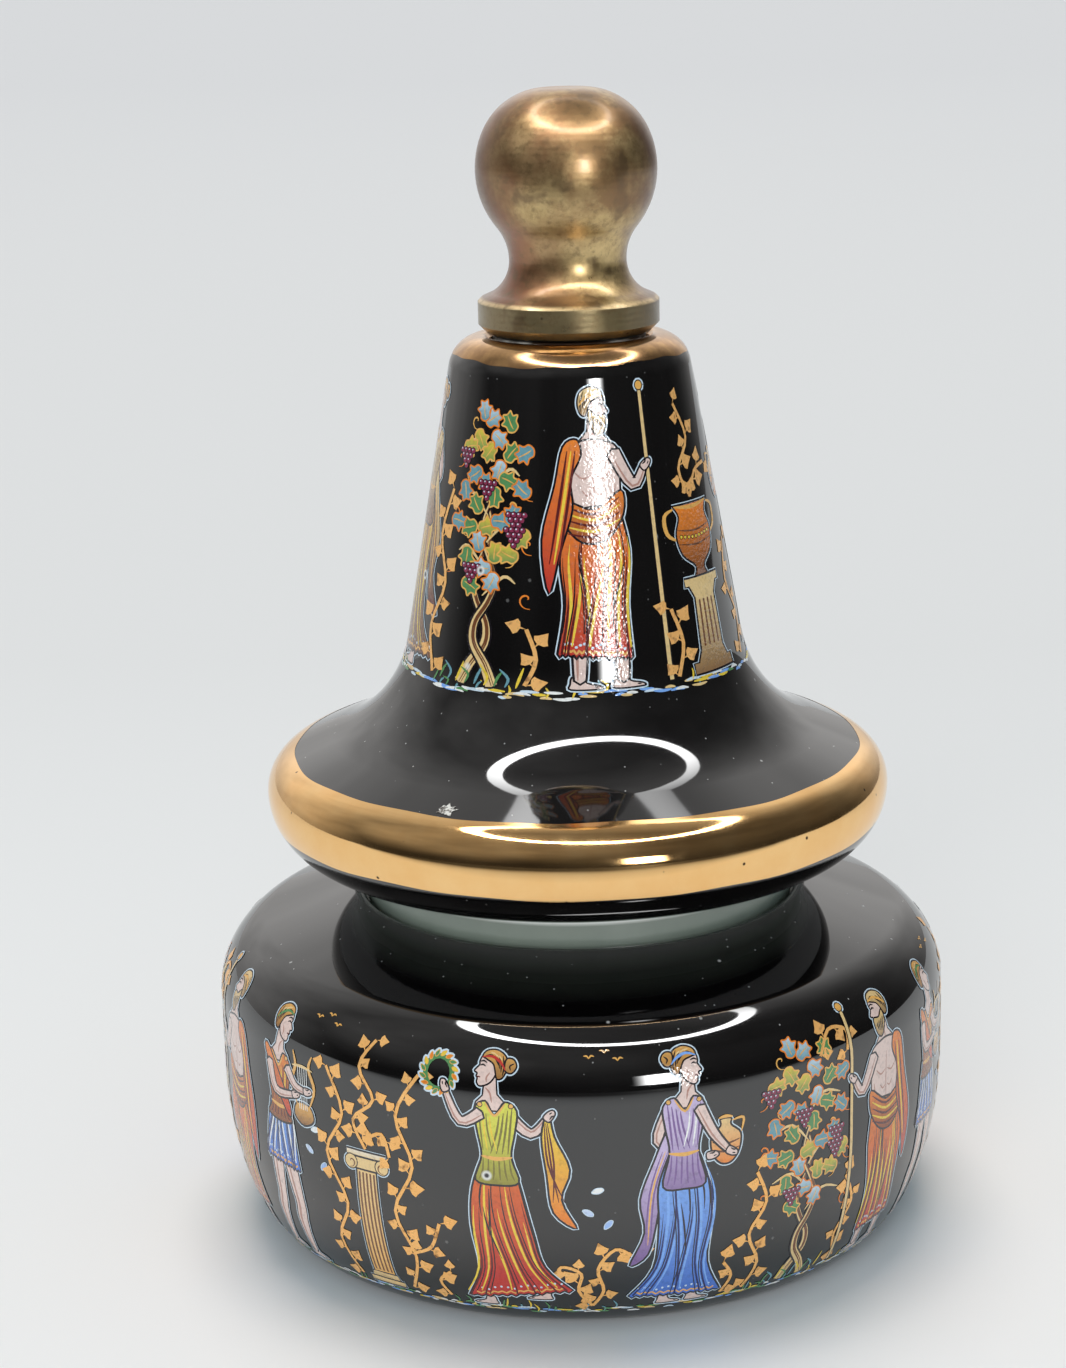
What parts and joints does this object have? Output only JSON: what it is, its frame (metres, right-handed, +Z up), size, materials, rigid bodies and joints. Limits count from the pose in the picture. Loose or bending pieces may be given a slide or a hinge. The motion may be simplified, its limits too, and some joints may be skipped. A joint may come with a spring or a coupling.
{
  "type": "porcelain perfume bottle",
  "caption": "Black glazed porcelain perfume bottle: a bell-shaped flask with a gilt flange stands in the mouth of a squat bowl, closed by a turned brass ball stopper with a dabber rod.",
  "frame": {"origin": "centre of the bowl's foot ring, on the surface the bottle stands on", "axes": "+Z up along the axis that every piece is turned about; -Y is the side the picture shows"},
  "size_m": [0.065, 0.065, 0.1],
  "materials": {
    "black_glaze": "deep black gloss glaze",
    "aged_brass": "satin, tarnished",
    "polythene": "translucent white, moulded",
    "rod_glass": "clear, polished",
    "gold_lustre": "mirror gold film fired on the glaze",
    "enamel_print": "fired overglaze transfer print"
  },
  "bodies": {
    "bowl": {"base_bowl": "black_glaze"},
    "flask": {"flask_body": "black_glaze"},
    "stopper": {"stopper_knob": "aged_brass", "stopper_sleeve": "polythene", "dabber_rod": "rod_glass"}
  },
  "joints": [
    {"name": "flask_lift", "type": "slide", "parent": "bowl", "child": "flask", "axis": [0, 0, 1], "range_m": [0, 0.06]},
    {"name": "stopper_pull", "type": "slide", "parent": "flask", "child": "stopper", "axis": [0, 0, 1], "range_m": [0, 0.055]}
  ]
}
